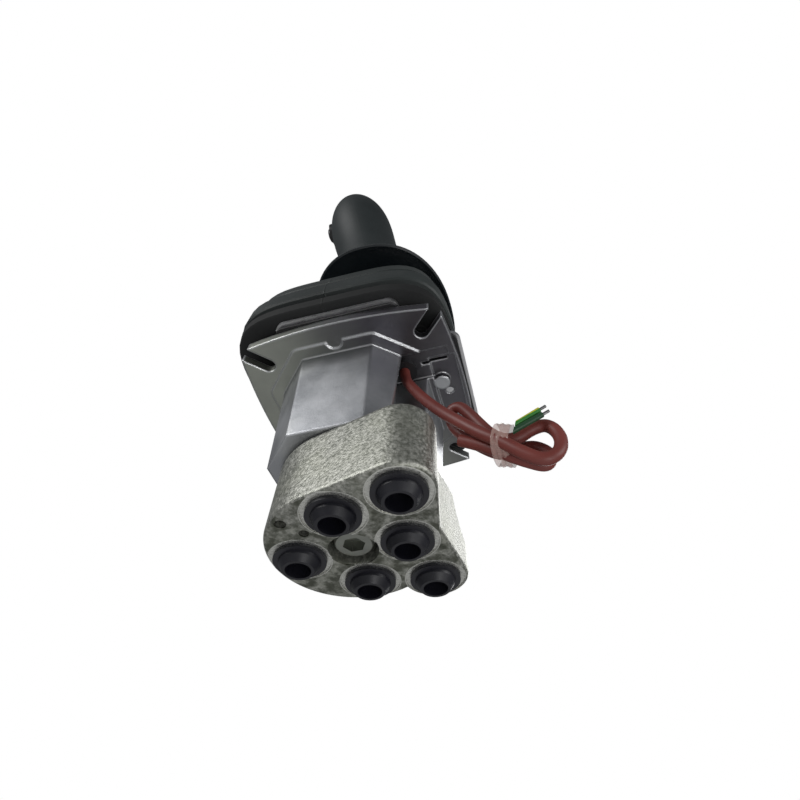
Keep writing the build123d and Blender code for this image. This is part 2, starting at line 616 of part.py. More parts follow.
def grip_sections():
    """Centre, half width and half depth of the grip at rising levels."""
    bottom = REST_Z + REST_RISE
    return [(6, -6, bottom, 21, 25), (4, -9, bottom + 20, 22, 25), (-1, -16, 140, 22, 24),
            (-7, -25, 172, 23, 25), (-10, -31, 194, 22, 25), (-11, -33, 206, 17, 20),
            (-11, -34, GRIP_TOP_Z, 8, 11)]


def grip_body():
    faces = [Pos(x, y, z) * Ellipse(a, b) for x, y, z, a, b in grip_sections()]
    body = loft(faces)
    return body - cyl(ROD_D, REST_Z, ROD_TOP_Z)


def button_frame(depth):
    """A place on the grip's left side at a depth under its skin, facing outwards."""
    x = -10 - 22 + depth
    return Pos(x, -31, BUTTON_Z) * Rot(0, -90, 0)


def button_bezel():
    bezel = button_frame(BEZEL_H - 1.2) * Cylinder(BUTTON_D / 2 + 3, BEZEL_H, align=UPRIGHT)
    return bezel - button_frame(20) * Cylinder(BUTTON_D / 2 + RUN_FIT, 60)


def thumb_button():
    tail = BEZEL_H - 1.2 + 0.2
    height = tail + BUTTON_PROUD
    button = button_frame(tail) * Cylinder(BUTTON_D / 2, height, align=UPRIGHT)
    button = fillet(button.edges().group_by(Axis.X)[0], 1.6)
    return button + button_frame(tail + 1.8) * Cylinder(BUTTON_D / 2 + 1.5, 1.8, align=UPRIGHT)


def button_switch():
    depth = BUTTON_POCKET
    return button_frame(depth) * Box(10, 10, depth - BEZEL_H - 3.2, align=UPRIGHT)


def grip_half(side):
    """The grip is moulded in two shells that meet on the plane of its length."""
    body = grip_body()
    body -= button_frame(BUTTON_POCKET) * Cylinder(BUTTON_D / 2 + 3, BUTTON_POCKET + 20, align=UPRIGHT)
    cut = Pos(-2.5, 0, 150) * Rot(0, -8, 0) * Pos(side * 100, 0, 0) * Box(200, 300, 200)
    return body & cut


# ---- cable ----
# The cable's route from inside the flange, down the recess and out to its tied hank.
cable_route = [(CABLE_X, CABLE_Y, 6), (CABLE_X, CABLE_Y, -8), (29.8, -22.8, -21.5), (36.3, -25.6, -36),
               (44, -28.5, -50.5), (51.8, -30, -61.5), (63.2, -30, -73.4)]


def cable():
    points = [Vector(*p) for p in cable_route]
    runs = [b - a for a, b in zip(points, points[1:])]
    radii = []
    for run, following in zip(runs, runs[1:]):
        half_turn = radians(run.get_angle(following)) / 2
        radii.append(0.45 * min(run.length, following.length) / tan(half_turn))
    print("cable radii", [round(r, 1) for r in radii])
    path = FilletPolyline(*points, radius=radii)
    section = Plane(origin=path @ 0, z_dir=path % 0) * Circle(CABLE_D / 2)
    tube = sweep(section, path)
    print("cable length", round(path.length, 1), "volume ratio",
          round(tube.volume / (path.length * pi * CABLE_D ** 2 / 4), 4))
    return tube - cable_hank()


def cable_grommet():
    bore = CABLE_D + 0.1
    collar = ring(GROMMET_D, bore, 0, lip_z + 2, CABLE_X, CABLE_Y)
    return collar + ring(GROMMET_LIP_D, bore, -GROMMET_LIP_H, RECESS_SINK, CABLE_X, CABLE_Y)


def facing_front(x, z, y, thick, sketch):
    """A flat form in an upright plane that faces the front, from depth y back by thick."""
    plane = Plane(origin=(x, y, z), x_dir=(1, 0, 0), z_dir=(0, -1, 0))
    return extrude(plane * sketch, amount=-thick)


def tie_place(tall, thick, length):
    """A box round the tied waist of the hank, square to its strands."""
    return Pos(TIE_X, TIE_Y, TIE_Z) * Rot(0, TIE_TURN, 0) * Box(length, thick, tall)


def cable_hank():
    bend = Pos(BEND_X - TIE_X, BEND_Z - TIE_Z) * Circle(CABLE_D + 0.2)
    neck = Pos(-4.5, 2.2) * Circle(CABLE_D - 0.5)
    finger = facing_front(TIE_X, TIE_Z, TIE_Y - 2, 10, make_hull(bend.edges() + neck.edges()))
    loop = Pos(LOOP_X - TIE_X, LOOP_Z - TIE_Z) * Circle(LOOP_R)
    root = Pos(4, -2.5) * Circle(CABLE_D - 1)
    teardrop = facing_front(TIE_X, TIE_Z, TIE_Y - 5, 11, make_hull(loop.edges() + root.edges()))
    waist = tie_place(HANK_TALL, HANK_THICK, HANK_WAIST)
    stub = facing_front(TIE_X, TIE_Z, TIE_Y - 2, 5, Pos(-10, 5) * Rot(0, 0, -18) * Rectangle(12, 5))
    return finger + teardrop + waist + stub


def cable_tie():
    outer = tie_place(HANK_TALL + 2 * TIE_THICK, HANK_THICK + 2 * TIE_THICK, TIE_WIDTH)
    return outer - tie_place(HANK_TALL, HANK_THICK, 2 * HANK_WAIST)


def wire(start, end, d, stripped):
    a, b = Vector(*start), Vector(*end)
    along = (b - a).normalized()
    plane = Plane(origin=b if stripped else a, z_dir=along)
    if stripped:
        return extrude(plane * Circle(d / 2 - 0.5), amount=STRIPPED_LENGTH)
    return extrude(plane * Circle(d / 2), amount=(b - a).length) - tie_place(
        HANK_TALL, HANK_THICK, HANK_WAIST)


parts["port_block"] = port_block()
parts["centre_screw"] = centre_screw()
parts["upper_housing"] = upper_housing()
parts["joint_seals"] = joint_seals()
parts["plunger_guides"] = Compound([plunger_guide(x, y) for x, y in working_ports])
parts["guide_seals"] = guide_seals()
for n, (x, y) in enumerate(working_ports, 1):
    parts[f"port_plug_{n}"] = port_plug(x, y)
    parts[f"plunger_{n}"] = plunger(x, y)
    parts[f"control_spool_{n}"] = control_spool(x, y)
    parts[f"return_spring_{n}"] = return_spring(x, y)
    parts[f"control_spring_{n}"] = control_spring(x, y)
parts["pressure_port_plug"] = port_plug(*main_ports[0])
parts["tank_port_plug"] = port_plug(*main_ports[1])
parts["guide_plate"] = guide_plate()
parts["boot_gasket"] = boot_gasket()
parts["retaining_plate"] = retaining_plate()
parts["plate_screws"] = Compound([cap_screw(PLATE_SCREW_D, PLATE_SCREW_LENGTH, lip_z, x, y)
                                  for x, y in plate_screws])
parts["clamp_screws"] = Compound([cap_screw(CLAMP_SCREW_D, 10, lip_z + BOOT_WALL + CLAMP_T, x, y)
                                  for x, y in clamp_screws])
parts["joint_base"] = joint_base()
parts["joint_cross"] = joint_cross()
parts["joint_fork"] = joint_fork()
parts["control_disc"] = control_disc()
parts["lock_nut"] = lock_nut()
parts["lever_rod"] = lever_rod()
parts["bellows"] = bellows()
parts["boot_clamp"] = boot_clamp()
parts["boot_collar"] = boot_collar()
parts["hand_rest"] = hand_rest()
parts["grip_left"] = grip_half(-1)
parts["grip_right"] = grip_half(1)

parts["button_bezel"] = button_bezel()
parts["thumb_button"] = thumb_button()
parts["button_switch"] = button_switch()
parts["cable_grommet"] = cable_grommet()
parts["cable"] = cable()
parts["cable_hank"] = cable_hank()
parts["cable_tie"] = cable_tie()
wires = {"earth_wire": ((70, WIRE_Y, -70.2), (81.0, WIRE_Y, -64.3)),
         "signal_wire": ((69, WIRE_Y, -73.3), (81.6, WIRE_Y, -67.2))}
for name, (start, end) in wires.items():
    parts[name] = wire(start, end, WIRE_D, False)
parts["wire_ends"] = Compound([wire(start, end, WIRE_D, True) for start, end in wires.values()])

os.makedirs("parts", exist_ok=True)
for name, shape in parts.items():
    shape.label = name
    export_step(shape, f"parts/{name}.step")
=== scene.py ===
import json
from math import cos, radians, sin, tau

import bmesh
import bpy
from mathutils import Matrix, Vector


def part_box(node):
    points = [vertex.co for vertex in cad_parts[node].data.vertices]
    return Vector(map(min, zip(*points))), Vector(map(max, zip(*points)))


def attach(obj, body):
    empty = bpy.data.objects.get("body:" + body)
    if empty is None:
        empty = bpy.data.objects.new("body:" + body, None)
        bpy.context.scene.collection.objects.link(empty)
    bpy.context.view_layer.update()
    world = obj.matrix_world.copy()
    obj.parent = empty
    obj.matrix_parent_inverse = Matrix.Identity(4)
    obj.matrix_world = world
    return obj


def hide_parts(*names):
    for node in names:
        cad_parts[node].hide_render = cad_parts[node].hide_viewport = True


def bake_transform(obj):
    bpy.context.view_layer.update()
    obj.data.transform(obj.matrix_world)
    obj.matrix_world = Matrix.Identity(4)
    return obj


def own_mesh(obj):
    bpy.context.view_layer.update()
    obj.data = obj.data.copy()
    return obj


bl_info = {
    "name": "Pilot joystick valve",
    "version": (1, 0, 0),
    "blender": (4, 5, 0),
    "location": "View3D > Sidebar > Valve",
    "description": "Dresses a hydraulic pilot joystick valve with its boot, grip, cable and finishes",
    "category": "Object",
}

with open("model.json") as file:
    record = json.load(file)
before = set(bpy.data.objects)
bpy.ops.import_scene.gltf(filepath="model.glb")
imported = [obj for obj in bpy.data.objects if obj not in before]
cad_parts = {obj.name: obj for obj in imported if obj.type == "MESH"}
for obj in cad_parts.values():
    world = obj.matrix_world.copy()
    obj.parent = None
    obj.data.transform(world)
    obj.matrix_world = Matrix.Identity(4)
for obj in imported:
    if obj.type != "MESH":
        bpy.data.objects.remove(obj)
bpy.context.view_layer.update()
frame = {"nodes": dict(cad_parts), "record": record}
nodes = frame["nodes"]
MM = 0.001


def mid(node):
    """The middle of a node's box at rest."""
    low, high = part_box(node)
    return [(a + b) / 2 for a, b in zip(low, high)]


port_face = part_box("port_block")[0][2]
ports = [mid(f"port_plug_{k}")[:2] for k in (1, 2, 3, 4)]
ports += [mid("pressure_port_plug")[:2], mid("tank_port_plug")[:2]]
SPOT_FACE_R = 12.8 * MM         # turned ring round each port, just past its spot face


# ---- shader expressions ----
class Value:
    """A node socket that takes part in plain arithmetic."""

    def __init__(self, finish, socket):
        self.finish = finish
        self.socket = socket

    def op(self, operation, first, second=None, clamp=False):
        inputs = {0: first} if second is None else {0: first, 1: second}
        settings = {"operation": operation, "use_clamp": clamp}
        return self.finish.node("ShaderNodeMath", settings, inputs)

    def __add__(self, other):
        return self.op("ADD", self, other)

    __radd__ = __add__

    def __mul__(self, other):
        return self.op("MULTIPLY", self, other)

    __rmul__ = __mul__

    def __sub__(self, other):
        return self.op("SUBTRACT", self, other)

    def __rsub__(self, other):
        return self.op("SUBTRACT", other, self)

    def __pow__(self, other):
        return self.op("POWER", self, other)

    def __lt__(self, other):
        return self.op("LESS_THAN", self, other)

    def size(self):
        return self.op("ABSOLUTE", self)

    def clamped(self):
        return self.op("ADD", self, 0.0, clamp=True)


class Finish:
    """A material built around one Principled shader."""

    def __init__(self, name, color, roughness, metallic=0.0, **fixed):
        self.material = bpy.data.materials.new(name)
        self.material.use_nodes = True
        self.tree = self.material.node_tree
        self.shader = self.tree.nodes["Principled BSDF"]
        self.set("Base Color", (*color, 1.0))
        self.set("Roughness", roughness)
        self.set("Metallic", metallic)
        for key, value in fixed.items():
            self.set(key.replace("_", " "), value)
        self.place = self.node("ShaderNodeTexCoord", out="Object")

    def set(self, socket, value):
        if isinstance(value, Value):
            self.tree.links.new(value.socket, self.shader.inputs[socket])
        else:
            self.shader.inputs[socket].default_value = value

    def node(self, kind, settings=None, inputs=None, out=0):
        """Any other node, with its settings, its inputs and the output that is wanted."""
        made = self.tree.nodes.new(kind)
        for key, value in (settings or {}).items():
            setattr(made, key, value)
        for key, value in (inputs or {}).items():
            if isinstance(value, Value):
                self.tree.links.new(value.socket, made.inputs[key])
            else:
                made.inputs[key].default_value = value
        return Value(self, made.outputs[out])

    def noise(self, per_metre, detail=4.0, rough=0.55, place=None):
        inputs = {"Vector": place or self.place, "Scale": per_metre, "Detail": detail,
                  "Roughness": rough}
        return self.node("ShaderNodeTexNoise", {}, inputs)

    def cells(self, per_metre):
        return self.node("ShaderNodeTexVoronoi", {}, {"Vector": self.place, "Scale": per_metre})

    def axis(self, index):
        return self.node("ShaderNodeSeparateXYZ", {}, {"Vector": self.place}, out=index)

    def mix(self, share, first, second):
        """A colour between two colours, each given as a triple or a colour value."""
        made = self.tree.nodes.new("ShaderNodeMix")
        made.data_type = "RGBA"
        sockets = (made.inputs[0], made.inputs[6], made.inputs[7])
        for socket, value in zip(sockets, (share, first, second)):
            if isinstance(value, Value):
                self.tree.links.new(value.socket, socket)
            elif isinstance(value, tuple):
                socket.default_value = (*value, 1.0)
            else:
                socket.default_value = value
        return Value(self, made.outputs[2])

    def step(self, value, low, high):
        """0 below low, 1 above high, smooth between."""
        return self.node("ShaderNodeMapRange", {"interpolation_type": "SMOOTHSTEP"},
                         {"Value": value, "From Min": low, "From Max": high})

    def bump(self, height, strength, distance, under=None):
        inputs = {"Height": height, "Strength": strength, "Distance": distance}
        if under is not None:
            inputs["Normal"] = under
        return self.node("ShaderNodeBump", {}, inputs)

    def edges(self, radius):
        """A rounded normal, and 1 on the outer edges that it rounds."""
        rounded = self.node("ShaderNodeBevel", {"samples": 6}, {"Radius": radius})
        true = self.node("ShaderNodeNewGeometry", {}, {}, out=1)
        agree = self.node("ShaderNodeVectorMath", {"operation": "DOT_PRODUCT"}, {0: rounded, 1: true}, out=1)
        return rounded, self.step(1 - agree, 0.01, 0.16)

    def near(self, x, y, radius, soft):
        """1 inside an upright cylinder about (x, y), falling to 0 over a soft edge."""
        dx, dy = self.axis(0) - x, self.axis(1) - y
        distance = (dx * dx + dy * dy) ** 0.5
        return 1 - self.step(distance, radius - soft, radius + soft)


# ---- finishes ----
def cast_block_finish():
    """Plated sand casting: sparkling, pitted skin and turned spot faces on the port side."""
    f = Finish("cast_block", (0.3, 0.31, 0.28), 0.5, 0.85)
    grain, pits = f.noise(620, 5.0, 0.7), f.cells(900)
    wide = f.noise(45, 3.0)
    level = f.axis(2)
    skin_from = port_face + 1.2 * MM        # above this level the skin is as cast everywhere
    on_face = 1 - f.step(level, skin_from - 0.8 * MM, skin_from - 0.5 * MM)
    turned = f.near(*ports[0], SPOT_FACE_R, 0.08 * MM)
    for x, y in ports[1:]:
        turned = (turned + f.near(x, y, SPOT_FACE_R, 0.08 * MM)).clamped()
    machined = turned * (1 - f.step(level, skin_from, skin_from + 0.2 * MM))
    skin = f.mix(f.step(grain, 0.35, 0.68), (0.2, 0.205, 0.18), (0.5, 0.5, 0.46))
    skin = f.mix(f.step(wide, 0.35, 0.7) * 0.35, skin, (0.33, 0.34, 0.27))
    grime = f.step(f.noise(160, 5.0), 0.42, 0.62) * on_face * (1 - turned)
    skin = f.mix(grime * 0.8, skin, (0.055, 0.06, 0.04))
    f.set("Base Color", f.mix(machined, skin, (0.62, 0.62, 0.58)))
    f.set("Roughness", f.step(grain, 0.2, 0.9) * 0.25 + 0.36 - machined * 0.16)
    rough = f.bump(grain * 0.7 + pits * 0.4, 0.55, 0.0004)
    f.set("Normal", f.bump(wide, 0.25, 0.0015, rough))
    return f.material


def alloy_finish():
    """Blasted die-cast aluminium, with a painted highlight on its rounded edges."""
    f = Finish("housing_alloy", (0.42, 0.43, 0.45), 0.38, 0.95)
    fine, wide = f.noise(1100, 3.0), f.noise(38, 4.0, 0.6)
    stain = f.step(f.noise(22, 3.0), 0.45, 0.7)
    tone = f.mix(f.step(wide, 0.3, 0.7), (0.36, 0.37, 0.39), (0.52, 0.53, 0.55))
    tone = f.mix(stain * 0.3, tone, (0.4, 0.41, 0.36))
    rounded, edge = f.edges(0.0016)
    # painted reflection and painted shade: where the underside mask is set, the colour runs from a pale
    # greenish reflection on the left to a dark purple grey shade on the right
    underside = f.step(f.axis(2), -0.0012, -0.0009)
    painted_shading = f.mix(f.step(f.axis(0) - f.axis(1) * 0.5, -0.02, 0.045), (0.36, 0.375, 0.33), (0.105, 0.1, 0.115))
    tone = f.mix(underside, tone, f.mix(f.step(wide, 0.3, 0.7) * 0.3, painted_shading, (0.2, 0.2, 0.2)))
    # painted highlight: the rounded edges are mixed towards pale grey
    f.set("Base Color", f.mix(edge * 0.85, tone, (0.8, 0.81, 0.83)))
    f.set("Roughness", wide * 0.2 + 0.3 - edge * 0.1)
    grain = f.bump(fine, 0.25, 0.00012, rounded)
    f.set("Normal", f.bump(wide, 0.3, 0.0008, grain))
    return f.material


def steel_finish(name, color, roughness, per_metre=300):
    """Machined or drawn steel and bronze with fine lines across its height."""
    f = Finish(name, color, roughness, 1.0)
    stretched = f.node("ShaderNodeMapping", {}, {"Vector": f.place, "Scale": (1.0, 1.0, 9.0)})
    lines = f.noise(per_metre, 4.0, 0.6, stretched)
    f.set("Roughness", lines * 0.2 + (roughness - 0.1))
    darker, paler = tuple(c * 0.8 for c in color), tuple(min(1, c * 1.15) for c in color)
    f.set("Base Color", f.mix(lines, darker, paler))
    f.set("Normal", f.bump(lines, 0.12, 0.0001))
    return f.material


def moulded_finish(name, color, roughness, grain_per_metre, depth, tint=0.25, **fixed):
    """Moulded plastic or rubber with a fine grain, dull patches and faint dust."""
    f = Finish(name, color, roughness, 0.0, **fixed)
    grain, wide = f.noise(grain_per_metre, 3.0, 0.6), f.noise(30, 3.0, 0.6)
    paler = tuple(c * (1 + tint) + 0.006 for c in color)
    f.set("Base Color", f.mix(f.step(wide, 0.3, 0.75), color, paler))
    f.set("Roughness", wide * 0.16 + grain * 0.08 + (roughness - 0.12))
    f.set("Normal", f.bump(grain, 0.3, depth))
    return f.material


def boot_finish(color):
    """Satin rubber, dull under the lowest fold and painted near black there as shade, with a moulding seam in
    front.
    """
    f = Finish("boot_rubber", color, 0.5)
    grain, wide = f.noise(700, 3.0, 0.6), f.noise(26, 3.0, 0.6)
    painted_shading = 1 - f.step(f.axis(2), 0.017, 0.0235)
    pale = tuple(c * 1.7 + 0.004 for c in color)
    tone = f.mix(f.step(wide, 0.3, 0.75), color, pale)
    # painted shade: the boot is taken near black below its lowest fold
    f.set("Base Color", f.mix(painted_shading, tone, (0.0015, 0.002, 0.0022)))
    f.set("Roughness", wide * 0.16 + grain * 0.08 + 0.36 + painted_shading * 0.3)
    wander = (f.axis(0) + 0.004 + f.noise(60, 1.0) * 0.003).size()
    seam = (1 - f.step(wander, 0.0001, 0.0006)) * (f.axis(1) < 0)
    f.set("Normal", f.bump(seam, 0.5, 0.0006, f.bump(grain, 0.3, 0.00012)))
    return f.material


def earth_finish():
    """Green and yellow insulation: a yellow band along one side of the green."""
    f = Finish("earth_insulation", (0.5, 0.55, 0.03), 0.35)
    rise = 0.48                     # height that the wire gains for each unit to the right
    x, _, z = mid("earth_wire")
    above = f.axis(2) - f.axis(0) * rise - (z - rise * x)
    stripe = f.step(above, 0.1 * MM, 0.3 * MM)
    f.set("Base Color", f.mix(stripe, (0.03, 0.2, 0.03), (0.55, 0.52, 0.03)))
    f.set("Roughness", f.noise(500) * 0.2 + 0.28)
    return f.material


def build_finishes():
    """One material for each slot of the record."""
    look = bpy.context.scene.valve_look
    return {
        "cast_block": cast_block_finish(),
        "housing_alloy": alloy_finish(),
        "bright_steel": steel_finish("bright_steel", (0.62, 0.62, 0.63), 0.3),
        "spring_steel": steel_finish("spring_steel", (0.3, 0.3, 0.32), 0.4),
        "black_steel": steel_finish("black_steel", (0.3, 0.31, 0.28), 0.42),
        "bush_bronze": steel_finish("bush_bronze", (0.6, 0.4, 0.18), 0.32),
        "plug_plastic": moulded_finish("plug_plastic", (0.004, 0.004, 0.008), 0.42, 900, 0.00006),
        "seal_rubber": moulded_finish("seal_rubber", (0.008, 0.008, 0.009), 0.5, 800, 0.0001),
        "boot_rubber": boot_finish(tuple(look.boot_color)),
        "grip_plastic": moulded_finish("grip_plastic", tuple(look.grip_color), 0.55, 1500, 0.0001,
                                       tint=0.2),
        "rest_plastic": moulded_finish("rest_plastic", (0.006, 0.009, 0.011), 0.3, 900, 0.00008),
        "button_plastic": moulded_finish("button_plastic", (0.006, 0.006, 0.007), 0.35, 900, 0.00005),
        "cable_sheath": moulded_finish("cable_sheath", tuple(look.cable_color), 0.48, 420, 0.00012,
                                       tint=0.45),
        "tie_film": moulded_finish("tie_film", (0.5, 0.33, 0.29), 0.2, 300, 0.0003, Alpha=0.4),
        "earth_insulation": earth_finish(),
        "signal_insulation": moulded_finish("signal_insulation", (0.012, 0.05, 0.02), 0.35, 500,
                                            0.00005),
        "conductor": steel_finish("conductor", (0.3, 0.3, 0.3), 0.35, 900),
    }


finishes = {}


# ---- mesh helpers ----
def piece(name, mesh_maker, slot, sharp_deg):
    """A smooth mesh object whose place is in its mesh, with its slot's material."""
    bm = bmesh.new()
    mesh_maker(bm)
    bmesh.ops.recalc_face_normals(bm, faces=bm.faces)
    mesh = bpy.data.meshes.new(name)
    bm.to_mesh(mesh)
    bm.free()
    made = bpy.data.objects.new(name, mesh)
    bpy.context.scene.collection.objects.link(made)
    dress(made, slot)
    for face in mesh.polygons:
        face.use_smooth = True
    mesh.set_sharp_from_angle(angle=radians(sharp_deg))
    return made


def dress(made, slot):
    """Puts a slot's material on an object."""
    made.data.materials.clear()
    made.data.materials.append(finishes[slot])


def oval(vert, angle, half_x, half_y, power, x, y, z):
    """Puts a ring's vertex on a rounded square (high power) or an ellipse (power 2)."""
    c, s = cos(angle), sin(angle)
    reach = (abs(c) ** power + abs(s) ** power) ** (-1 / power)
    vert.co = (x + half_x * reach * c, y + half_y * reach * s, z)


def drawn_up(bm, rings, segments):
    """A skin drawn through rings of (half x, half y, power, x, y, z), in millimetres."""
    verts = bmesh.ops.create_circle(bm, segments=segments, radius=1.0)["verts"]
    angles = {vert: index * tau / segments for index, vert in enumerate(verts)}
    for step, shape in enumerate(rings):
        if step:
            edges = [e for e in bm.edges if e.verts[0] in angles and e.verts[1] in angles]
            grown = bmesh.ops.extrude_edge_only(bm, edges=edges)["geom"]
            fresh = {}
            for vert in [part for part in grown if isinstance(part, bmesh.types.BMVert)]:
                below = [e.other_vert(vert) for e in vert.link_edges if e.other_vert(vert) in angles]
                fresh[vert] = angles[below[0]]
            angles = fresh
        half_x, half_y, power, x, y, z = shape
        for vert, angle in angles.items():
            oval(vert, angle, half_x * MM, half_y * MM, power, x * MM, y * MM, z * MM)


# ---- pieces ----
BOOT_SIDES = 96
ROUND_FROM = 52         # level above which the boot's square turns into its round neck
ROUND_RISE = 12         # height over which it does so
CABLE_SIDE_INSET = 3.4  # how much narrower the boot is, and how far its middle moves from the cable
FOOT_TOP = 9.5          # level below which the boot's lip stays square on the plate
LOWER_FOLDS = [(41, 9.15), (50, 9.3), (53.5, 10), (57.4, 11.6), (58.2, 12.4), (58.6, 17.4), (57.8, 18.4),
               (54.6, 19.2), (53.4, 20.2), (54.4, 21.3), (58.4, 22.3), (59.1, 23.2), (58.8, 32.4),
               (58.2, 33.3), (55.8, 34.2), (54.2, 35.2), (53.6, 36.4)]
UPPER_FOLDS = [(53.6, 36.4), (54.0, 37.2), (56.2, 37.9), (56.8, 38.8), (55.6, 46.6), (55.0, 47.5), (53.2, 48),
               (52.4, 48.8), (52.0, 50.2), (49.5, 51.6), (44, 53.4), (37, 57), (30, 60.8), (24.8, 63.4),
               (21.6, 65.8), (19.8, 68.2), (19.4, 71.9)]


def boot_skin(folds):
    """Rings of the boot, narrower on the cable side than on the others."""
    rings = []
    for half, z in folds:
        roundness = max(0.0, min(1.0, (z - ROUND_FROM) / ROUND_RISE))
        shy = CABLE_SIDE_INSET * (1 - roundness) * min(1.0, max(0.0, (z - FOOT_TOP) / 3))
        rings.append((half - shy, half, 4.6 - 2.6 * roundness, -shy, 0, z))
    return rings


class VALVE_OT_boot(bpy.types.Operator):
    """Builds the folded rubber boot in two lengths"""

    bl_idname = "valve.boot"
    bl_label = "Boot"

    def execute(self, context):
        self.length(context, "boot_lower_folds", LOWER_FOLDS, "valve_body", "gimbal", 3.0, 0.5)
        self.length(context, "boot_upper_folds", UPPER_FOLDS, "gimbal", "lever", 1.0, 6.0)
        return {"FINISHED"}

    def length(self, context, name, folds, below, above, still_at_foot, still_at_top):
        """One length of the boot, drawn as a skin with a rubber wall."""
        skin = piece(name, lambda bm: drawn_up(bm, boot_skin(folds), BOOT_SIDES), "boot_rubber",
                     sharp_deg=34)
        wall = skin.modifiers.new("Wall", "SOLIDIFY")
        wall.thickness = context.scene.valve_look.boot_wall
        wall.offset = -1
        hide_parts("bellows")
        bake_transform(skin)


class VALVE_OT_rest(bpy.types.Operator):
    """Builds the palm rest as a thin dish with a rolled rim"""

    bl_idname = "valve.rest"
    bl_label = "Palm rest"

    def execute(self, context):
        x, y = 9.0, -6.0                # middle of the dish
        grip_x, grip_y = 5.0, -8.0      # middle of its hole, round the grip
        hole_a = 20                     # rings narrower than this belong to the hole
        under = [(16, 17, 84.5), (26, 29, 83.6), (33, 39, 81.4), (37.5, 46.5, 78.4), (40, 49.8, 75.6)]
        rim = [(40.9, 50.8, 75.1), (41.7, 51.7, 75.7), (41.7, 51.7, 77.1), (41, 50.9, 78.4)]
        top = [(37, 46, 82.6), (31, 37, 86.2), (23, 27, 89), (17, 18, 91.2)]
        rings = []
        for a, b, z in under + rim + top:
            centre = (grip_x, grip_y) if a < hole_a else (x, y)
            rings.append((a, b, 2.25, *centre, z))
        rest = piece("palm_rest", lambda bm: drawn_up(bm, rings, BOOT_SIDES), "rest_plastic", sharp_deg=50)
        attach(rest, "lever")
        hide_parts("hand_rest")
        return {"FINISHED"}


class VALVE_OT_cable(bpy.types.Operator):
    """Lays the cable from the flange to its tied hank and wraps the tie in clear film"""

    bl_idname = "valve.cable"
    bl_label = "Cable"

    def execute(self, context):
        diameter = context.scene.valve_look.cable_diameter
        run = [(25, -20, 6), (25, -20, -8), (29.8, -22.8, -21.5), (36.3, -25.6, -36),
               (44, -28.5, -50.5), (51.8, -30, -61.5), (58.5, -30.2, -69.5), (65, -30.2, -75.3)]
        outer_loop = [(71, -29.6, -82), (78, -28.8, -87.6), (84.4, -27.8, -84), (86.4, -27, -75),
                      (83, -26.4, -67), (77, -26, -67.5), (71.5, -25.8, -70.8), (66.7, -25.6, -70.6)]
        bend = [(61.8, -25.2, -66), (58, -24.8, -58), (54.3, -24.4, -49.5), (50.5, -23.4, -42),
                (45.8, -21.6, -42), (46.3, -20, -50), (51.2, -19.4, -58), (57.5, -19.4, -65.5),
                (62, -19.6, -70), (66.3, -19.8, -71.6)]
        inner_loop = [(71.5, -20, -70.7), (77, -20.6, -71.5), (81.8, -21.6, -78), (79.5, -22.8, -84.8),
                      (72.5, -24, -81.5), (64.9, -24.9, -76.2)]
        tail = [(57.5, -25, -69.8), (49.5, -25, -64.9)]
        points = run + outer_loop + bend + inner_loop + tail
        curve = bpy.data.curves.new("cable_line", "CURVE")
        curve.dimensions = "3D"
        curve.bevel_depth = diameter / 2
        curve.bevel_resolution = 6
        curve.resolution_u = 10
        curve.use_fill_caps = True
        spline = curve.splines.new("NURBS")
        spline.points.add(len(points) - 1)
        for spot, place in zip(spline.points, points):
            spot.co = (*[c * MM for c in place], 1)
        spline.order_u = 3
        spline.use_endpoint_u = True
        cable = bpy.data.objects.new("pilot_cable", curve)
        context.scene.collection.objects.link(cable)
        curve.materials.append(finishes["cable_sheath"])
        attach(cable, "valve_body")
        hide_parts("cable", "cable_hank")
        parts = [self.film(), nodes["earth_wire"], nodes["signal_wire"], nodes["wire_ends"]]
        return {"FINISHED"}

    def film(self):
        """A slack band of clear film round the bundle."""
        width, half_y, half_z, slant = 6.5 * MM, 8.0 * MM, 6.4 * MM, 0.6 * MM
        creases = 9
        centre = Vector(mid("cable_tie"))
        turn = Matrix.Rotation(radians(20), 4, "Y")

        def band(bm):
            rows = [bmesh.ops.create_circle(bm, segments=48, radius=1.0)["verts"]]
            edges = list(bm.edges)
            for _ in range(creases):
                grown = bmesh.ops.extrude_edge_only(bm, edges=edges)["geom"]
                edges = [part for part in grown if isinstance(part, bmesh.types.BMEdge)
                         and all(v in grown for v in part.verts)]
                rows.append([part for part in grown if isinstance(part, bmesh.types.BMVert)])
            for level, row in enumerate(rows):
                along = (level / creases - 0.5) * width
                for vert in row:
                    side = Vector((vert.co.x, vert.co.y, 0)).normalized()
                    swell = 1 + 0.05 * sin(level * 2.1) + 0.02 * cos(5 * side.x + level)
                    reach = swell * (abs(side.x) ** 3 + abs(side.y) ** 3) ** (-1 / 3)
                    vert.co = (along + slant * side.x, side.x * half_y * reach, side.y * half_z * reach)
            bmesh.ops.transform(bm, matrix=Matrix.Translation(centre) @ turn, verts=bm.verts)

        film = piece("tie_film_wrap", band, "tie_film", sharp_deg=180)
        wall = film.modifiers.new("Wall", "SOLIDIFY")
        wall.thickness = 0.25 * MM
        finer = film.modifiers.new("Finer", "SUBSURF")
        finer.levels = finer.render_levels = 1
        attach(film, "valve_body")
        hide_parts("cable_tie")
        return film


class VALVE_OT_finishes(bpy.types.Operator):
    """Gives every solid its material"""

    bl_idname = "valve.finishes"
    bl_label = "Finishes"

    def execute(self, context):
        finishes.update(build_finishes())
        slots = {s["node"]: s["material_slot"] for s in frame["record"]["subparts"]}
        for name, made in nodes.items():
            dress(made, slots[name])
        return {"FINISHED"}


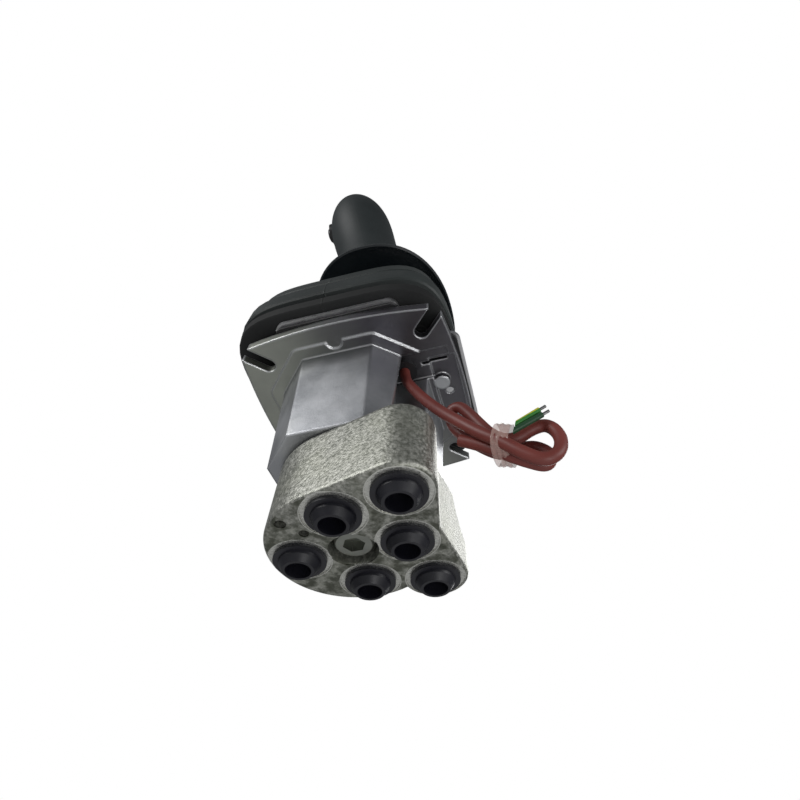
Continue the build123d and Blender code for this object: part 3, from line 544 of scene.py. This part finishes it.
class VALVE_OT_springs(bpy.types.Operator):
    """Puts a copy of each spring, with its own mesh, in place of the CAD spring"""

    bl_idname = "valve.springs"
    bl_label = "Springs"

    def execute(self, context):
        # The second value is the share of its height that a spring keeps at full stroke.
        for kind, keep in (("return_spring", 0.77), ("control_spring", 0.28)):
            for k in (1, 2, 3, 4):
                node = f"{kind}_{k}"
                coil = nodes[node].copy()
                coil.data = nodes[node].data.copy()
                coil.name = f"{kind}_coil_{k}"
                context.scene.collection.objects.link(coil)
                dress(coil, "spring_steel")
                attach(coil, "valve_body")
                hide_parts(node)
                foot = mid(node)
                foot[2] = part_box(node)[0][2]
                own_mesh(coil)
        return {"FINISHED"}


class VALVE_OT_stage(bpy.types.Operator):
    """Sets the floor, the lamps, the world and the camera"""

    bl_idname = "valve.stage"
    bl_label = "Stage"

    def execute(self, context):
        self.floor()
        self.world(context.scene)
        # Name, place in metres, side and power of each lamp.
        lamps = [("key", (-0.55, -0.75, 0.3), 0.45, 5.0), ("fill", (0.8, -0.2, -0.05), 0.4, 2.2),
                 ("under", (0.35, -0.3, -0.55), 0.25, 1.1), ("back", (0.3, 0.8, 0.5), 0.6, 5.0)]
        for name, place, size, power in lamps:
            data = bpy.data.lights.new(name, "AREA")
            data.size = size
            data.energy = power
            lamp = bpy.data.objects.new(name, data)
            lamp.location = place
            aim = Vector((0, 0, 0.02)) - Vector(place)
            lamp.rotation_euler = aim.to_track_quat("-Z", "Y").to_euler()
            context.scene.collection.objects.link(lamp)
        self.camera(context.scene)
        return {"FINISHED"}

    def floor(self):
        """A wide pale floor below the camera."""
        bm = bmesh.new()
        bmesh.ops.create_grid(bm, x_segments=1, y_segments=1, size=4.0)
        bmesh.ops.translate(bm, verts=bm.verts, vec=(0, 0, -0.6))
        mesh = bpy.data.meshes.new("floor")
        bm.to_mesh(mesh)
        bm.free()
        floor = bpy.data.objects.new("floor", mesh)
        bpy.context.scene.collection.objects.link(floor)
        mesh.materials.append(Finish("floor", (0.82, 0.82, 0.82), 0.7).material)

    def world(self, scene):
        """White behind the valve, and a dim grey for what it mirrors."""
        world = bpy.data.worlds.new("studio")
        world.use_nodes = True
        scene.world = world
        tree = world.node_tree
        background = tree.nodes["Background"]
        rays = tree.nodes.new("ShaderNodeLightPath")
        mix = tree.nodes.new("ShaderNodeMix")
        mix.data_type = "RGBA"
        tree.links.new(rays.outputs["Is Camera Ray"], mix.inputs[0])
        mix.inputs[6].default_value = (0.17, 0.175, 0.18, 1)
        mix.inputs[7].default_value = (1, 1, 1, 1)
        tree.links.new(mix.outputs[2], background.inputs["Color"])

    def camera(self, scene):
        """A close camera below the front right of the flange, looking up."""
        look = scene.valve_look
        place = Vector((66.11, -157.47, -210.33)) * MM
        right = Vector((0.97364, 0.22411, -0.04235))
        forward = Vector((-0.10706, 0.61305, 0.78276))
        up = right.cross(forward)
        data = bpy.data.cameras.new("camera")
        data.lens = look.lens
        data.shift_x = -0.0513
        data.shift_y = 0.007
        data.clip_start = 0.01
        camera = bpy.data.objects.new("camera", data)
        turn = Matrix((right, up, -forward)).transposed().to_4x4()
        camera.matrix_world = Matrix.Translation(place) @ turn
        scene.collection.objects.link(camera)
        scene.camera = camera
        scene.view_settings.view_transform = "Standard"


class ValveLook(bpy.types.PropertyGroup):
    """Sizes and colours that a user would change"""

    boot_wall: bpy.props.FloatProperty(name="Boot wall", description="Thickness of the rubber boot",
                                       default=0.0018, unit="LENGTH")
    cable_diameter: bpy.props.FloatProperty(name="Cable diameter", description="Outside of the sheath",
                                            default=0.005, unit="LENGTH")
    cable_length: bpy.props.FloatProperty(name="Cable length", description="From the flange to its cut end",
                                          default=0.286, unit="LENGTH")
    lens: bpy.props.FloatProperty(name="Lens", description="Focal length of the camera", default=22.97)
    boot_color: bpy.props.FloatVectorProperty(name="Boot", description="Rubber of the boot",
                                              default=(0.011, 0.015, 0.0145), subtype="COLOR")
    grip_color: bpy.props.FloatVectorProperty(name="Grip", description="Plastic of the grip",
                                              default=(0.009, 0.0135, 0.0145), subtype="COLOR")
    cable_color: bpy.props.FloatVectorProperty(name="Cable", description="Sheath of the cable",
                                               default=(0.13, 0.024, 0.018), subtype="COLOR")


class VALVE_PT_panel(bpy.types.Panel):
    """Lists the steps that dress the valve"""

    bl_idname = "VALVE_PT_panel"
    bl_label = "Pilot joystick valve"
    bl_space_type = "VIEW_3D"
    bl_region_type = "UI"
    bl_category = "Valve"

    def draw(self, context):
        for key in ValveLook.__annotations__:
            self.layout.prop(context.scene.valve_look, key)
        for step in STEPS:
            self.layout.operator(step.bl_idname)


STEPS = (VALVE_OT_finishes, VALVE_OT_boot, VALVE_OT_rest, VALVE_OT_cable, VALVE_OT_springs,
         VALVE_OT_stage)
CLASSES = (ValveLook, *STEPS, VALVE_PT_panel)


def register():
    for cls in CLASSES:
        bpy.utils.register_class(cls)
    bpy.types.Scene.valve_look = bpy.props.PointerProperty(type=ValveLook)


def unregister():
    del bpy.types.Scene.valve_look
    for cls in reversed(CLASSES):
        bpy.utils.unregister_class(cls)


def main():
    register()
    bpy.ops.valve.finishes()
    bpy.ops.valve.boot()
    bpy.ops.valve.rest()
    bpy.ops.valve.cable()
    bpy.ops.valve.springs()
    bpy.ops.valve.stage()


if __name__ == "__main__":
    main()
